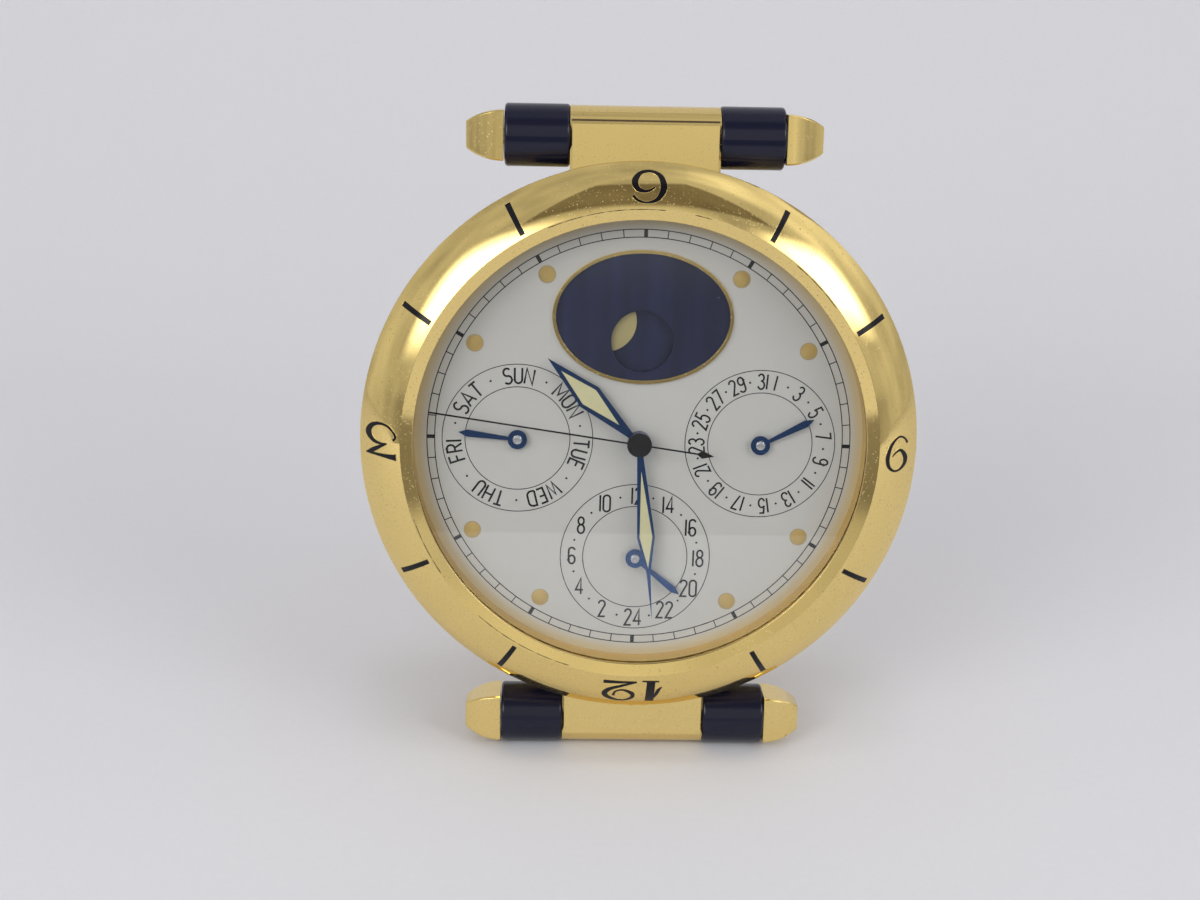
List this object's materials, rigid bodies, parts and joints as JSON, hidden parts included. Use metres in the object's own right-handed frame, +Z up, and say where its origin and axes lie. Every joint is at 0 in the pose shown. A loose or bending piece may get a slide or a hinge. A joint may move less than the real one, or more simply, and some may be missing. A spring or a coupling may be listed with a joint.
{
  "type": "desk clock",
  "caption": "Round gold-plated desk clock with a turning bezel, day, date, 24-hour and moon displays, lacquered bars at top and bottom and a folding strut.",
  "frame": {"origin": "on the table, at the centre of the clock's footprint box", "axes": "+Z up, front faces -Y, +X to the viewer's right; the dial leans back 10 degrees"},
  "size_m": [0.09, 0.0546, 0.1054],
  "materials": {
    "gold": "polished gold plate",
    "black_enamel": "glossy black enamel",
    "navy_lacquer": "glossy navy lacquer",
    "moon_blue": "satin blue lacquer",
    "dial_silver": "matt silvered dial",
    "crystal_glass": "clear polished",
    "seal_rubber": "matt",
    "blue_hand": "blued, glossy",
    "black_hand": "black lacquer",
    "lume": "cream luminous paint",
    "amber_lume": "aged luminous paint",
    "steel": "polished",
    "brass": "fine brushed",
    "movement_plastic": "moulded",
    "board": "solder-masked board"
  },
  "bodies": {
    "case": {"case_body": "gold", "flange_ring": "gold", "crystal": "crystal_glass", "crystal_gasket": "seal_rubber", "bezel_wire": "steel", "dial_plate": "dial_silver", "luminous_dots": "amber_lume", "moon_window_frame": "gold", "moon_window_plate": "moon_blue", "calendar_plate": "brass", "day_jumper": "steel", "date_jumper": "steel", "moon_jumper": "steel", "movement_ring": "movement_plastic", "movement_housing": "movement_plastic", "circuit_board": "board", "battery": "steel", "battery_strap": "steel", "back_cover": "gold", "back_gasket": "seal_rubber", "back_screws": "steel", "knob_bush": "brass", "strut_bracket": "gold", "strut_pin": "steel", "top_horn": "gold", "bottom_horn": "gold", "top_rod": "steel", "bottom_rod": "steel", "top_rollers": "navy_lacquer", "bottom_rollers": "navy_lacquer", "top_caps": "gold", "bottom_caps": "gold"},
    "bezel": {"bezel_ring": "gold", "bezel_enamel": "black_enamel"},
    "minute": {"minute_hand": "blue_hand", "minute_lume": "lume", "cannon_pinion": "brass"},
    "hour": {"hour_hand": "blue_hand", "hour_lume": "lume", "hour_wheel": "brass"},
    "seconds": {"seconds_hand": "black_hand", "hub_cap": "black_hand", "seconds_arbor": "steel"},
    "minute_wheel": {"minute_wheel": "brass"},
    "idler": {"idler_wheel": "brass"},
    "hour24": {"hour24_hand": "blue_hand", "hour24_wheel": "brass"},
    "day": {"day_hand": "blue_hand", "day_star": "brass"},
    "date": {"date_hand": "blue_hand", "date_star": "brass"},
    "moon": {"moon_disc": "moon_blue", "moons": "gold"},
    "knob": {"setting_knob": "gold", "setting_stem": "steel"},
    "day_button": {"day_corrector": "gold"},
    "date_button": {"date_corrector": "gold"},
    "moon_button": {"moon_corrector": "gold"},
    "strut": {"strut_leg": "gold"}
  },
  "joints": [
    {"name": "bezel_turn", "type": "hinge", "parent": "case", "child": "bezel", "pos_m": [0, -0.01718, 0.05398], "axis": [0, 0.9848, -0.1736], "continuous": true},
    {"name": "minute_turn", "type": "hinge", "parent": "case", "child": "minute", "pos_m": [0, -0.01422, 0.05346], "axis": [0, 0.9848, -0.1736], "continuous": true},
    {"name": "hour_turn", "type": "hinge", "parent": "case", "child": "hour", "pos_m": [0, -0.01422, 0.05346], "axis": [0, 0.9848, -0.1736], "continuous": true},
    {"name": "seconds_turn", "type": "hinge", "parent": "case", "child": "seconds", "pos_m": [0, -0.01422, 0.05346], "axis": [0, 0.9848, -0.1736], "continuous": true},
    {"name": "minute_wheel_turn", "type": "hinge", "parent": "case", "child": "minute_wheel", "pos_m": [0.00322, -0.01368, 0.05656], "axis": [0, 0.9848, -0.1736], "continuous": true},
    {"name": "idler_turn", "type": "hinge", "parent": "case", "child": "idler", "pos_m": [0.00145, -0.01561, 0.04561], "axis": [0, 0.9848, -0.1736], "continuous": true},
    {"name": "hour24_turn", "type": "hinge", "parent": "case", "child": "hour24", "pos_m": [-0.00022, -0.01762, 0.03421], "axis": [0, 0.9848, -0.1736], "continuous": true},
    {"name": "day_turn", "type": "hinge", "parent": "case", "child": "day", "pos_m": [-0.0197, -0.01418, 0.05368], "axis": [0, 0.9848, -0.1736], "continuous": true},
    {"name": "date_turn", "type": "hinge", "parent": "case", "child": "date", "pos_m": [0.0197, -0.01426, 0.05324], "axis": [0, 0.9848, -0.1736], "continuous": true},
    {"name": "moon_turn", "type": "hinge", "parent": "case", "child": "moon", "pos_m": [0.00026, -0.01023, 0.07611], "axis": [0, 0.9848, -0.1736], "continuous": true},
    {"name": "knob_turn", "type": "hinge", "parent": "case", "child": "knob", "pos_m": [0.025, -0.01427, 0.05318], "axis": [0, 0.9848, -0.1736], "continuous": true},
    {"name": "day_push", "type": "slide", "parent": "case", "child": "day_button", "axis": [0, -0.9848, 0.1736], "range_m": [0, 0.001], "stiffness_N_per_m": 600, "springref_m": -0.0008},
    {"name": "moon_push", "type": "slide", "parent": "case", "child": "moon_button", "axis": [0, -0.9848, 0.1736], "range_m": [0, 0.001], "stiffness_N_per_m": 600, "springref_m": -0.0008},
    {"name": "date_push", "type": "slide", "parent": "case", "child": "date_button", "axis": [0, -0.9848, 0.1736], "range_m": [0, 0.001], "stiffness_N_per_m": 600, "springref_m": -0.0008},
    {"name": "strut_fold", "type": "hinge", "parent": "case", "child": "strut", "pos_m": [0, 0.00609, 0.07019], "axis": [-1, 0, 0], "range_deg": [0, 26]}
  ],
  "couplings": [
    {"joint": "hour_turn", "follows": "minute_turn", "ratio": 0.083333},
    {"joint": "minute_wheel_turn", "follows": "minute_turn", "ratio": -0.33333},
    {"joint": "idler_turn", "follows": "minute_turn", "ratio": -0.066667},
    {"joint": "hour24_turn", "follows": "minute_turn", "ratio": 0.041667},
    {"joint": "day_turn", "follows": "minute_turn", "ratio": 0.0059524},
    {"joint": "date_turn", "follows": "minute_turn", "ratio": 0.0013441},
    {"joint": "moon_turn", "follows": "minute_turn", "ratio": 0.00070621},
    {"joint": "knob_turn", "follows": "minute_turn", "ratio": -0.33333}
  ]
}
